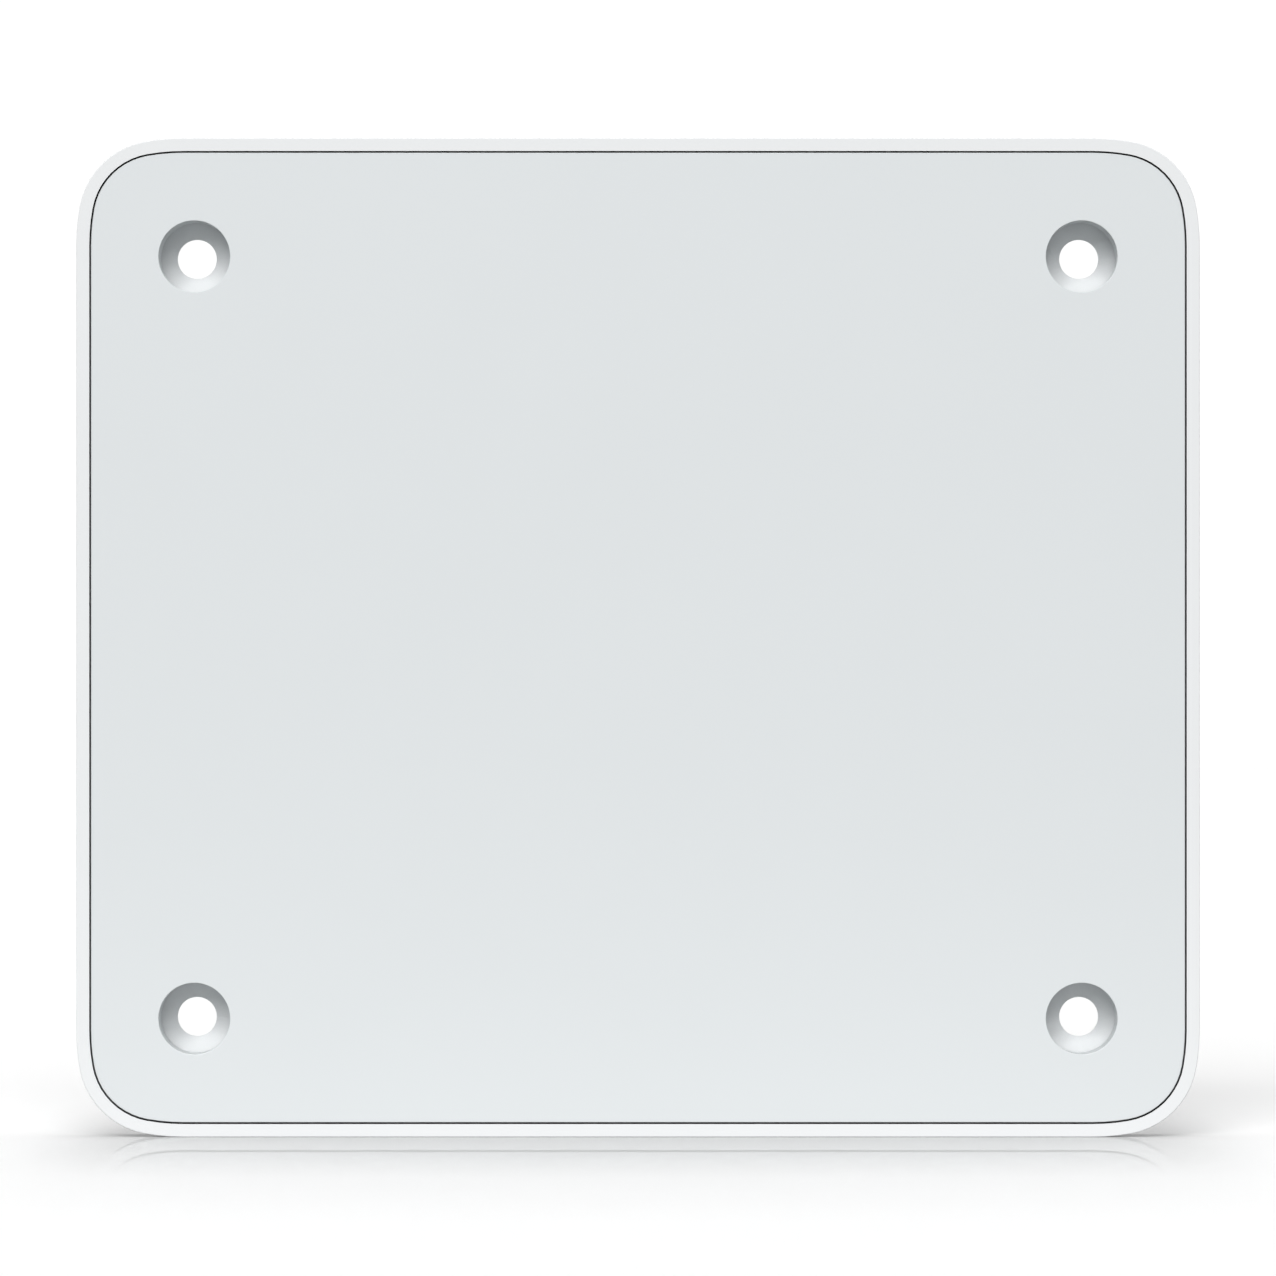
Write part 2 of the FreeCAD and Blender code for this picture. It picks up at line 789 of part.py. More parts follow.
def make_threaded_inserts(doc, s):
    body = new_body(doc, "threaded_inserts")
    rings = front_sketch(body, "rings", s.box_seat_depth)
    for across, along in box_screw_centres(s):
        add_circle(rings, across, along, s.insert_radius - s.fit_gap)
        add_circle(rings, across, along, s.box_screw_radius)
    add_pad(body, rings, s.insert_length)
    return body


# Board stack: standoffs, reflector, antennas and board.

def add_board_outline(sketch, s):
    """A rectangle with its corners notched clear of the box's columns."""
    half_x = s.board_width / 2
    half_z = s.board_height / 2
    notch_x = s.board_notch_x
    notch_z = s.board_notch_z
    points = []
    for side_x, side_z in ((1, 1), (-1, 1), (-1, -1), (1, -1)):
        corner = [(half_x * side_x, notch_z * side_z), (notch_x * side_x, notch_z * side_z),
                  (notch_x * side_x, half_z * side_z)]
        points += corner if side_x * side_z > 0 else corner[::-1]
    add_polygon(sketch, points)


def make_main_board(doc, s):
    body = new_body(doc, "main_board")
    outline = front_sketch(body, "outline", board_rear(s))
    add_board_outline(outline, s)
    for across, along in standoff_centres(s):
        add_circle(outline, across, along, s.stud_hole_radius)
    add_pad(body, outline, s.board_thickness)
    return body


def add_hexagon(sketch, across, along, flat_half):
    """A hexagon with two sides upright, from half its size across the flats."""
    corner_reach = flat_half * (2 / math.sqrt(3))
    half_side = corner_reach / 2
    add_polygon(sketch, [(across + flat_half, along - half_side), (across + flat_half, along + half_side),
                         (across, along + corner_reach), (across - flat_half, along + half_side),
                         (across - flat_half, along - half_side), (across, along - corner_reach)])


def make_board_standoffs(doc, s):
    body = new_body(doc, "board_standoffs")
    top = s.reflector_front - s.reflector_thickness
    hexagons = front_sketch(body, "hexagons", s.board_front)
    studs = front_sketch(body, "studs", s.board_front)
    bores = front_sketch(body, "bores", top)
    for across, along in standoff_centres(s):
        add_hexagon(hexagons, across, along, s.standoff_across / 2)
        add_circle(studs, across, along, s.stud_radius)
        add_circle(bores, across, along, s.small_screw_radius + s.fit_gap)
    add_pad(body, hexagons, top - s.board_front)
    add_pad(body, studs, s.stud_length, reverse=True)
    add_pocket(body, bores, s.small_screw_length - s.reflector_thickness + s.fit_gap)
    return body


def make_reflector_plate(doc, s):
    body = new_body(doc, "reflector_plate")
    rear = s.reflector_front - s.reflector_thickness
    outline = front_sketch(body, "outline", rear)
    add_board_outline(outline, s)
    for across, along in standoff_centres(s):
        add_circle(outline, across, along, s.small_clearance_radius)
    hole = s.feed_width + s.feed_clearance * 2
    for side in (1, -1):
        add_centred(outline, short_feed_x(s), s.short_arm_z * side, hole, hole)
        add_centred(outline, s.long_arm_x * side, long_feed_z(s), hole, hole)
    add_pad(body, outline, s.reflector_thickness)
    return body


def make_reflector_screws(doc, s):
    return screw_group(doc, "reflector_screws", standoff_centres(s), s.reflector_front,
                       (s.small_screw_radius, s.small_screw_length),
                       (s.small_head_radius, s.small_head_height, s.small_head_round),
                       (s.small_cross_length, s.small_cross_width, s.small_cross_depth),
                       head_at_rear=False)


def short_feed_x(s):
    return s.feed_offset - s.short_arm / 2


def long_feed_z(s):
    return s.feed_offset - s.long_arm / 2


def antenna_profile(s, arm, flip):
    """Side view of a foot, an upright and an arm: pairs of distance along and height."""
    start = -arm / 2
    foot = start - s.antenna_foot
    low = s.reflector_front
    high = s.antenna_top_height
    sheet = s.sheet_thickness
    profile = [(foot, low), (start + sheet, low), (start + sheet, high - sheet), (arm / 2, high - sheet),
               (arm / 2, high), (start, high), (start, low + sheet), (foot, low + sheet)]
    return [flip(along, height) for along, height in profile]


def make_antenna(doc, s, label, upright_arm, side):
    """A bent antenna: its arm runs along Z at one side, or along X above or below the middle."""
    body = new_body(doc, label)
    if upright_arm:
        role, offset, feed = "YZ_Plane", s.long_arm_x * side, long_feed_z(s)
        arm, width = s.long_arm, s.long_arm_width

        def flip(along, height):
            return (-height, along)
    else:
        role, offset, feed = "XY_Plane", s.short_arm_z * side, short_feed_x(s)
        arm, width = s.short_arm, s.short_arm_width

        def flip(along, height):
            return (along, -height)
    strip = new_sketch(body, "strip", role, offset)
    add_polygon(strip, antenna_profile(s, arm, flip))
    add_pad(body, strip, width, midplane=True)
    leg = new_sketch(body, "feed_leg", role, offset)
    half = s.feed_width / 2
    low = s.board_front
    high = s.antenna_top_height - s.sheet_thickness
    add_polygon(leg, [flip(feed - half, low), flip(feed + half, low),
                      flip(feed + half, high), flip(feed - half, high)])
    add_pad(body, leg, s.sheet_thickness * 2, midplane=True)
    return body


# Parts on the board's rear side.

def hot_cans(s):
    """Centre, width and height of each screening can that passes heat to the box."""
    return {
        "processor_shield": (s.processor_can_x, s.processor_can_z,
                             s.processor_can_width, s.processor_can_height),
        "radio_shield_upper": (s.radio_can_x, s.upper_radio_can_z,
                               s.radio_can_width, s.upper_radio_can_height),
        "radio_shield_lower": (s.radio_can_x, s.lower_radio_can_z,
                               s.radio_can_width, s.lower_radio_can_height),
    }


def make_can(doc, s, label):
    """A drawn sheet cover, open towards the board."""
    body = new_body(doc, label)
    across, along, width, height = hot_cans(s)[label]
    outline = front_sketch(body, "outline", can_top(s))
    add_centred(outline, across, along, width, height)
    add_pad(body, outline, s.can_depth)
    inside = front_sketch(body, "inside", board_rear(s))
    walls = s.can_thickness * 2
    add_centred(inside, across, along, width - walls, height - walls)
    add_pocket(body, inside, s.can_depth - s.can_thickness)
    add_fillet(body, "bends", runs_along_y, s.can_thickness / 2)
    return body


def make_thermal_pads(doc, s):
    body = new_body(doc, "thermal_pads")
    sketch = front_sketch(body, "outline", pad_top(s))
    for across, along, width, height in hot_cans(s).values():
        add_centred(sketch, across, along, width - s.pad_edge * 2, height - s.pad_edge * 2)
    add_pad(body, sketch, s.pad_thickness)
    return body


def make_processor(doc, s):
    return block(doc, "processor", [(s.processor_x, s.processor_can_z)],
                 s.processor_side, s.processor_side, board_rear(s), s.processor_depth)


def make_memory_chip(doc, s):
    return block(doc, "memory_chip", [(s.memory_x, s.processor_can_z)],
                 s.memory_width, s.memory_height, board_rear(s), s.memory_depth)


def make_flash_chip(doc, s):
    return block(doc, "flash_chip", [(0, s.flash_z)], s.flash_width, s.flash_height,
                 board_rear(s), s.flash_depth)


def make_radio_chips(doc, s):
    places = [(s.radio_can_x, s.upper_radio_can_z), (s.radio_can_x, s.lower_radio_can_z)]
    return block(doc, "radio_chips", places, s.radio_chip_side, s.radio_chip_side,
                 board_rear(s), s.radio_chip_depth)


def make_ethernet_magnetics(doc, s):
    return block(doc, "ethernet_magnetics", [(s.magnetics_x, s.magnetics_z)],
                 s.magnetics_width, s.magnetics_height, board_rear(s), s.magnetics_depth)


def make_power_inductor(doc, s):
    return block(doc, "power_inductor", [(s.inductor_x, s.inductor_z)],
                 s.inductor_side, s.inductor_side, board_rear(s), s.inductor_depth)


def make_transformer_core(doc, s):
    """A ferrite core: a frame with a middle limb, whose two windows the winding fills."""
    body = new_body(doc, "transformer_core")
    outline = front_sketch(body, "frame", board_rear(s) - s.bobbin_depth)
    add_centred(outline, s.transformer_x, s.transformer_z, s.core_side, s.core_side)
    for side in (1, -1):
        add_centred(outline, s.transformer_x + s.core_window_x * side, s.transformer_z,
                    s.core_window_width, s.core_window_height)
    add_pad(body, outline, s.core_depth, reverse=True)
    return body


def make_transformer_winding(doc, s):
    """A winding on its bobbin: it fills the core's windows and stands on the board below them."""
    body = new_body(doc, "transformer_winding")
    base = front_sketch(body, "base", board_rear(s))
    add_centred(base, s.transformer_x, s.transformer_z, s.bobbin_width, s.bobbin_height)
    add_pad(body, base, s.bobbin_depth, reverse=True)
    legs = front_sketch(body, "legs", board_rear(s) - s.bobbin_depth)
    clearances = s.winding_clearance * 2
    for side in (1, -1):
        add_centred(legs, s.transformer_x + s.core_window_x * side, s.transformer_z,
                    s.core_window_width - clearances, s.core_window_height - clearances)
    add_pad(body, legs, s.winding_depth, reverse=True)
    return body


def make_power_capacitors(doc, s):
    body = new_body(doc, "power_capacitors")
    seat = board_rear(s) - s.capacitor_base_depth
    bases = front_sketch(body, "bases", board_rear(s))
    cans = front_sketch(body, "cans", seat)
    for along in (s.capacitor_upper_z, s.capacitor_lower_z):
        add_centred(bases, s.capacitor_x, along, s.capacitor_base_side, s.capacitor_base_side)
        add_circle(cans, s.capacitor_x, along, s.capacitor_radius)
    add_pad(body, bases, s.capacitor_base_depth, reverse=True)
    add_pad(body, cans, s.capacitor_can_depth, reverse=True)
    add_fillet(body, "can_tops", lambda edge: lies_at_height(edge, seat - s.capacitor_can_depth),
               s.capacitor_round)
    return body


# Modular jack in the box's upper wall. Its mouth faces +Z.

def jack_mouth(s):
    return s.box_height / 2 - s.jack_mouth_recess


def jack_roof(s):
    """Y of the insert's face nearest the rear wall."""
    return s.jack_depth - board_rear(s) - s.shell_thickness - s.shell_gap


def plug_far(s):
    """Y of the plug space's wall that holds the contacts."""
    return jack_roof(s) - s.plug_roof


def make_jack_shell(doc, s):
    body = new_body(doc, "jack_shell")
    near = -board_rear(s)
    outline = new_sketch(body, "outline", "XY_Plane", jack_mouth(s) - s.jack_length)
    add_centred(outline, s.jack_x, near + s.jack_depth / 2, s.jack_width, s.jack_depth)
    add_pad(body, outline, s.jack_length)
    inside = new_sketch(body, "inside", "XY_Plane", jack_mouth(s))
    wall = s.shell_thickness * 2
    add_centred(inside, s.jack_x, near + s.jack_depth / 2, s.jack_width - wall, s.jack_depth - wall)
    add_pocket(body, inside, s.jack_length - s.shell_thickness)
    return body


def make_jack_insert(doc, s):
    body = new_body(doc, "jack_insert")
    near = -board_rear(s)
    wall = (s.shell_thickness + s.shell_gap) * 2
    outline = new_sketch(body, "outline", "XY_Plane", jack_mouth(s))
    add_centred(outline, s.jack_x, near + s.jack_depth / 2, s.jack_width - wall, s.jack_depth - wall)
    add_pad(body, outline, s.jack_length - wall, reverse=True)

    half_plug = s.plug_width / 2
    half_latch = s.latch_width / 2
    roof = plug_far(s)
    step = roof - s.plug_depth
    low = step - s.latch_depth
    plug = new_sketch(body, "plug_space", "XY_Plane", jack_mouth(s))
    add_polygon(plug, [(s.jack_x - half_latch, low), (s.jack_x + half_latch, low),
                       (s.jack_x + half_latch, step), (s.jack_x + half_plug, step),
                       (s.jack_x + half_plug, roof), (s.jack_x - half_plug, roof),
                       (s.jack_x - half_plug, step), (s.jack_x - half_latch, step)])
    add_pocket(body, plug, s.plug_length)

    lights = new_sketch(body, "light_pockets", "XY_Plane", jack_mouth(s))
    add_light_windows(lights, s, s.fit_gap)
    add_pocket(body, lights, s.light_length)
    return body


def add_light_windows(sketch, s, clearance):
    """The two indicator windows beside the latch slot."""
    near = -board_rear(s) + s.light_inset
    for side in (1, -1):
        add_centred(sketch, s.jack_x + s.light_offset * side, near + s.light_depth / 2,
                    s.light_width + clearance * 2, s.light_depth + clearance * 2)


def make_jack_light_pipes(doc, s):
    body = new_body(doc, "jack_light_pipes")
    windows = new_sketch(body, "windows", "XY_Plane", jack_mouth(s))
    add_light_windows(windows, s, 0)
    add_pad(body, windows, s.light_length - s.fit_gap, reverse=True)
    return body


CONTACT_COUNT = 8


def make_jack_contacts(doc, s):
    """Slanted contact wires that hang from the plug space's far wall."""
    body = new_body(doc, "jack_contacts")
    roof = plug_far(s)
    front = jack_mouth(s) - s.contact_inset
    back = front - s.contact_length
    sheet = s.contact_thickness
    for index in range(CONTACT_COUNT):
        middle = s.jack_x + s.contact_pitch * (index - (CONTACT_COUNT - 1) / 2)
        strip = new_sketch(body, f"strip_{index + 1}", "YZ_Plane", middle)
        add_polygon(strip, [(roof, front), (roof - s.contact_drop, back),
                            (roof - s.contact_drop, back - sheet), (roof, front - sheet * 3)])
        add_pad(body, strip, s.contact_width, midplane=True)
    return body


# Reset switch and button on the same axis, along Z.

def reset_y(s):
    return s.reset_below_board - board_rear(s)


def stem_end(s):
    return s.switch_front_z + s.stem_outside


def make_reset_switch(doc, s):
    body = new_body(doc, "reset_switch")
    near = -board_rear(s)
    outline = new_sketch(body, "outline", "XY_Plane", s.switch_front_z)
    add_centred(outline, s.reset_x, near + s.switch_depth / 2, s.switch_width, s.switch_depth)
    add_pad(body, outline, s.switch_length, reverse=True)
    bore = new_sketch(body, "bore", "XY_Plane", s.switch_front_z)
    add_circle(bore, s.reset_x, reset_y(s), s.switch_bore_radius)
    add_pocket(body, bore, s.switch_bore_depth)
    return body


def make_reset_switch_stem(doc, s):
    body = new_body(doc, "reset_switch_stem")
    outline = new_sketch(body, "outline", "XY_Plane", s.switch_front_z - s.stem_inside)
    add_circle(outline, s.reset_x, reset_y(s), s.stem_radius)
    add_pad(body, outline, s.stem_inside + s.stem_outside)
    return body


def make_reset_button(doc, s):
    body = new_body(doc, "reset_button")
    tip = s.box_height / 2 + s.button_proud
    shaft = new_sketch(body, "shaft", "XY_Plane", stem_end(s))
    add_circle(shaft, s.reset_x, reset_y(s), s.button_radius)
    add_pad(body, shaft, tip - stem_end(s))
    wall_inside = s.box_height / 2 - s.box_wall
    flange = new_sketch(body, "flange", "XY_Plane", wall_inside - s.button_flange_gap)
    add_circle(flange, s.reset_x, reset_y(s), s.button_flange_radius)
    add_pad(body, flange, s.button_flange_thickness, reverse=True)
    add_fillet(body, "tip_edge", lambda edge: abs(edge.BoundBox.ZMin - tip.value) < TOLERANCE,
               s.button_round)
    return body


def make_rating_label(doc, s):
    body = new_body(doc, "rating_label")
    outline = front_sketch(body, "outline", -s.box_depth)
    add_rounded_rectangle(outline, s.label_centre_z, s.label_width, s.label_height, s.label_corner)
    add_pad(body, outline, s.label_thickness, reverse=True)
    return body


def make_all(doc):
    s = make_sheet(doc)
    return [
        make_housing(doc, s),
        make_front_plate(doc, s),
        make_plate_adhesive(doc, s),
        make_back_box(doc, s),
        make_box_screws(doc, s),
        make_threaded_inserts(doc, s),
        make_main_board(doc, s),
        make_board_standoffs(doc, s),
        make_reflector_plate(doc, s),
        make_reflector_screws(doc, s),
        make_antenna(doc, s, "antenna_upper", False, 1),
        make_antenna(doc, s, "antenna_lower", False, -1),
        make_antenna(doc, s, "antenna_left", True, -1),
        make_antenna(doc, s, "antenna_right", True, 1),
        make_can(doc, s, "processor_shield"),
        make_can(doc, s, "radio_shield_upper"),
        make_can(doc, s, "radio_shield_lower"),
        make_thermal_pads(doc, s),
        make_processor(doc, s),
        make_memory_chip(doc, s),
        make_flash_chip(doc, s),
        make_radio_chips(doc, s),
        make_ethernet_magnetics(doc, s),
        make_power_inductor(doc, s),
        make_transformer_core(doc, s),
        make_transformer_winding(doc, s),
        make_power_capacitors(doc, s),
        make_jack_shell(doc, s),
        make_jack_insert(doc, s),
        make_jack_contacts(doc, s),
        make_jack_light_pipes(doc, s),
        make_reset_switch(doc, s),
        make_reset_switch_stem(doc, s),
        make_reset_button(doc, s),
        make_rating_label(doc, s),
    ]


def check(doc, parts):
    """Stop if any object failed to build or any sub-part has no valid solid."""
    doc.recompute()
    for item in doc.Objects:
        if {"Invalid", "Error"} & set(item.State):
            raise RuntimeError(f"{item.Name} is {item.State}")
    for item in parts:
        if item.Shape.isNull() or not item.Shape.isValid() or not item.Shape.Solids:
            raise RuntimeError(f"{item.Label} has no valid solid")


def export(parts):
    os.makedirs("parts", exist_ok=True)
    for item in parts:
        item.Shape.exportStep(f"parts/{item.Label}.step")


document = FreeCAD.newDocument("ceiling_access_point")
sub_parts = make_all(document)
check(document, sub_parts)
export(sub_parts)
for sub_part in sub_parts:
    print(f"{sub_part.Label}: {len(sub_part.Shape.Solids)} solid(s), {sub_part.Shape.Volume:.1f} mm3")
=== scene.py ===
"""Studio scene for the recessed ceiling access point: materials, floor, lights and camera."""
import json
import math

import bpy
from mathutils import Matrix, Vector


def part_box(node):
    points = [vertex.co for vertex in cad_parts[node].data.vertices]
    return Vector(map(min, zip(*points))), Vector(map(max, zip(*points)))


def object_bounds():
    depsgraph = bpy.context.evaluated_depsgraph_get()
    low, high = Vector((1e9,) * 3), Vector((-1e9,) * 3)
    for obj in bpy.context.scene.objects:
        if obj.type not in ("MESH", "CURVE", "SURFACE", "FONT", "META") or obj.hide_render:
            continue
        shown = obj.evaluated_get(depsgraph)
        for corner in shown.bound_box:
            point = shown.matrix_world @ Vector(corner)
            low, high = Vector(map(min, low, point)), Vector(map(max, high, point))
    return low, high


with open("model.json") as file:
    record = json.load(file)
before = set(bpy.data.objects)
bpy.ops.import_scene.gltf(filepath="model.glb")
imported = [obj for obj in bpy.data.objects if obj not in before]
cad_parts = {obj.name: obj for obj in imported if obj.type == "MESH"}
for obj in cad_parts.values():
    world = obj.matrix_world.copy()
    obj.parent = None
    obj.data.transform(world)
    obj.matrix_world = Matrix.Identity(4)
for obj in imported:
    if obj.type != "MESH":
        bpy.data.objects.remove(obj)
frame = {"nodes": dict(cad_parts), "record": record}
cad_low, cad_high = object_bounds()
nodes = frame["nodes"]
scene = bpy.context.scene

MM = 0.001
WHITE = (1, 1, 1, 1)


def linear(red, green, blue):
    """Display values from 0 to 255 as a linear colour, by the sRGB curve."""
    channels = []
    for value in (red, green, blue):
        share = value / 255
        channels.append(share / 12.92 if share <= 0.04045 else ((share + 0.055) / 1.055) ** 2.4)
    return (*channels, 1.0)


def scaled(colour, factor):
    """This share of an opaque colour."""
    return [channel * factor for channel in colour[:3]] + [1]


# Node helpers that materials and the world share.

def feed(tree, value, socket):
    """Give a socket another node's output, or a fixed value."""
    if isinstance(value, bpy.types.NodeSocket):
        tree.links.new(value, socket)
    else:
        socket.default_value = value


def map_range(tree, value, start, end, low, high, easing="LINEAR"):
    """Carry a value from the range start to end into the range low to high, held at both ends."""
    node = tree.nodes.new("ShaderNodeMapRange")
    node.interpolation_type = easing
    settings = {"Value": value, "From Min": start, "From Max": end, "To Min": low, "To Max": high}
    for name, setting in settings.items():
        feed(tree, setting, node.inputs[name])
    return node.outputs["Result"]


def mix_shaders(tree, factor, first, second):
    """Blend two shaders, from the first at a factor of 0 to the second at 1."""
    node = tree.nodes.new("ShaderNodeMixShader")
    for output, socket in zip((factor, first, second), node.inputs):
        tree.links.new(output, socket)
    return node.outputs["Shader"]


# Material building blocks. Most of a noise texture's values lie within the noise range. Recesses
# and inner corners of plastic get painted shade, a darker colour, because the lights alone leave them
# too pale.

NOISE_RANGE = (0.3, 0.7)
OPENNESS_RANGE = (0.35, 0.95)
OPENNESS_SAMPLES = 8
# Reach and darkest share of the painted shade in recesses, then in inner corners.
PAINTED_RECESS_SHADE_REACH = 5 * MM
PAINTED_RECESS_SHADE = 0.65
PAINTED_CORNER_SHADE_REACH = 0.7 * MM
PAINTED_CORNER_SHADE = 0.6


class Shader:
    """A new node material with its Principled shader and a few shorthands."""

    def __init__(self, name, roughness, metallic=0.0):
        self.material = bpy.data.materials.new(name)
        self.material.use_nodes = True
        self.tree = self.material.node_tree
        self.bsdf = next(node for node in self.tree.nodes if node.type == "BSDF_PRINCIPLED")
        self.bsdf.inputs["Roughness"].default_value = roughness
        self.bsdf.inputs["Metallic"].default_value = metallic
        self.place = self.add("ShaderNodeTexCoord").outputs["Object"]

    def add(self, kind, **settings):
        """A new node with these properties set."""
        node = self.tree.nodes.new(kind)
        for name, value in settings.items():
            setattr(node, name, value)
        return node

    def link(self, output, target):
        self.tree.links.new(output, target)

    def noise(self, size, detail=2.0, roughness=0.5, stretch=(1, 1, 1)):
        """Noise whose features are about this size in metres, stretched along the axes."""
        mapping = self.add("ShaderNodeMapping")
        mapping.inputs["Scale"].default_value = [1 / factor for factor in stretch]
        self.link(self.place, mapping.inputs["Vector"])
        node = self.add("ShaderNodeTexNoise")
        node.inputs["Scale"].default_value = 1 / size
        node.inputs["Detail"].default_value = detail
        node.inputs["Roughness"].default_value = roughness
        self.link(mapping.outputs["Vector"], node.inputs["Vector"])
        return node.outputs["Fac"]

    def spread(self, value, low, high):
        """Turn a noise value into the range from low to high."""
        return map_range(self.tree, value, *NOISE_RANGE, low, high)

    def ramp(self, value, stops):
        """A colour that runs through these (position, colour) stops as a value rises."""
        node = self.add("ShaderNodeValToRGB")
        points = node.color_ramp.elements
        for point, (position, colour) in zip(points, stops, strict=True):
            point.position = position
            point.color = colour
        self.link(value, node.inputs["Fac"])
        return node.outputs["Color"]

    def varied(self, value, colour, darkest, lightest=1.0, span=NOISE_RANGE):
        """Let a colour run between two shares of itself as a noise value rises through the span."""
        start, end = span
        return self.ramp(value, [(start, scaled(colour, darkest)), (end, scaled(colour, lightest))])

    def openness(self, reach):
        """How open the surface is to its surroundings within this reach, from 0 to 1."""
        node = self.add("ShaderNodeAmbientOcclusion", samples=OPENNESS_SAMPLES)
        node.inputs["Distance"].default_value = reach
        return node.outputs["AO"]

    def mixed(self, first, second, factor, blend_type="MIX"):
        """Blend two colours by a factor; each of the three is an output or a fixed value."""
        node = self.add("ShaderNodeMix", data_type="RGBA", blend_type=blend_type)
        ends = [socket for socket in node.inputs if socket.type == "RGBA"]
        for value, socket in zip((factor, first, second), (node.inputs["Factor"], *ends)):
            feed(self.tree, value, socket)
        return next(socket for socket in node.outputs if socket.type == "RGBA")

    def painted_shade(self, colour, reach, shade_share):
        """Painted shade: darken a colour towards this share of itself where nearby walls enclose the
        surface.
        """
        share = map_range(self.tree, self.openness(reach), *OPENNESS_RANGE, shade_share, 1.0)
        return self.mixed(colour, share, 1.0, "MULTIPLY")

    def colour(self, output):
        self.link(output, self.bsdf.inputs["Base Color"])

    def roughness(self, output):
        self.link(output, self.bsdf.inputs["Roughness"])

    def bump(self, *layers):
        """Stack bumps, each a texture value with its height in metres."""
        previous = None
        for value, height in layers:
            node = self.add("ShaderNodeBump")
            node.inputs["Strength"].default_value = 1.0
            node.inputs["Distance"].default_value = height
            self.link(value, node.inputs["Height"])
            if previous:
                self.link(previous, node.inputs["Normal"])
            previous = node.outputs["Normal"]
        self.link(previous, self.bsdf.inputs["Normal"])


def moulded_plastic(name, colour, roughness, grain_size, grain_height):
    """Moulded plastic: a spark-eroded grain, a slow waviness, slightly uneven gloss and painted shade
    in hollows.
    """
    shader = Shader(name, roughness)
    cloud = shader.noise(18 * MM, detail=3)
    clean = shader.varied(cloud, colour, darkest=0.997, lightest=1.003, span=(0.35, 0.65))
    # Painted shade: the colour darkens in recesses and, more tightly, in inner corners.
    recess_shaded = shader.painted_shade(clean, PAINTED_RECESS_SHADE_REACH, PAINTED_RECESS_SHADE)
    shader.colour(shader.painted_shade(recess_shaded, PAINTED_CORNER_SHADE_REACH, PAINTED_CORNER_SHADE))
    grain = shader.noise(grain_size, detail=3, roughness=0.6)
    shader.roughness(shader.spread(grain, roughness - 0.05, roughness + 0.05))
    shader.bump((cloud, 0.004 * MM), (grain, grain_height))
    shader.bsdf.inputs["IOR"].default_value = 1.5
    return shader.material


def cast_metal(name, colour):
    """Shot-blasted die casting: pits, fine grain and faint flow streaks."""
    shader = Shader(name, roughness=0.5, metallic=1.0)
    flow = shader.noise(9 * MM, detail=4, roughness=0.6, stretch=(1, 1, 3))
    shader.colour(shader.varied(flow, colour, darkest=0.86))
    grain = shader.noise(0.35 * MM, detail=3, roughness=0.7)
    shader.roughness(shader.spread(grain, 0.42, 0.62))
    pits = shader.add("ShaderNodeTexVoronoi", feature="F1")
    pits.inputs["Scale"].default_value = 1 / (0.8 * MM)
    shader.link(shader.place, pits.inputs["Vector"])
    shader.bump((grain, 0.03 * MM), (pits.outputs["Distance"], 0.015 * MM))
    return shader.material


def sheet_metal(name, colour, roughness, stretch):
    """Rolled sheet with a fine brushed grain along one direction."""
    shader = Shader(name, roughness, metallic=1.0)
    grain = shader.noise(0.12 * MM, detail=2, stretch=stretch)
    shader.colour(shader.varied(grain, colour, darkest=0.9))
    shader.roughness(shader.spread(grain, roughness - 0.08, roughness + 0.08))
    shader.bump((grain, 0.003 * MM))
    return shader.material


def plated_metal(name, colour):
    """Small plated or turned metal parts: cloudy, with fine turning marks."""
    shader = Shader(name, roughness=0.3, metallic=1.0)
    cloud = shader.noise(1.5 * MM, detail=3)
    shader.colour(shader.varied(cloud, colour, darkest=0.82))
    fine = shader.noise(0.08 * MM, detail=2)
    shader.roughness(shader.spread(fine, 0.24, 0.4))
    shader.bump((fine, 0.004 * MM))
    return shader.material


def speckled(name, colour, accent, size, roughness):
    """Two near colours in fine speckles: epoxy, ferrite, gap pads and tape."""
    shader = Shader(name, roughness)
    spots = shader.noise(size, detail=3, roughness=0.7)
    shader.colour(shader.ramp(spots, [(0.4, colour), (0.62, accent)]))
    shader.roughness(shader.spread(spots, roughness - 0.06, roughness + 0.06))
    shader.bump((spots, size * 0.04))
    return shader.material


def ruled_film(name, colour, line_colour, columns, rows):
    """Label film with a blank form: ruled lines that split the label evenly into cells."""
    shader = Shader(name, roughness=0.45)
    low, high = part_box("rating_label")
    turn = shader.add("ShaderNodeMapping")
    turn.inputs["Rotation"].default_value = (math.pi / 2, 0, 0)
    turn.inputs["Location"].default_value = (-low.x, high.z, 0)
    shader.link(shader.place, turn.inputs["Vector"])
    cells = shader.add("ShaderNodeTexBrick", offset=0.0, squash=1.0)
    cells.inputs["Scale"].default_value = 1.0
    cells.inputs["Brick Width"].default_value = (high.x - low.x) / columns
    cells.inputs["Row Height"].default_value = (high.z - low.z) / rows
    cells.inputs["Mortar Size"].default_value = 0.1 * MM
    cells.inputs["Mortar Smooth"].default_value = 0.3
    cells.inputs["Color1"].default_value = colour
    cells.inputs["Color2"].default_value = scaled(colour, 0.985)
    cells.inputs["Mortar"].default_value = line_colour
    shader.link(turn.outputs["Vector"], cells.inputs["Vector"])
    shader.colour(cells.outputs["Color"])
    grain = shader.noise(0.4 * MM, detail=3)
    shader.roughness(shader.spread(grain, 0.4, 0.52))
    shader.bump((grain, 0.004 * MM))
    return shader.material


# Each material slot of the record, with the maker of its material and what that is given. A
# sheet's stretch draws its brushed grain out along one axis.

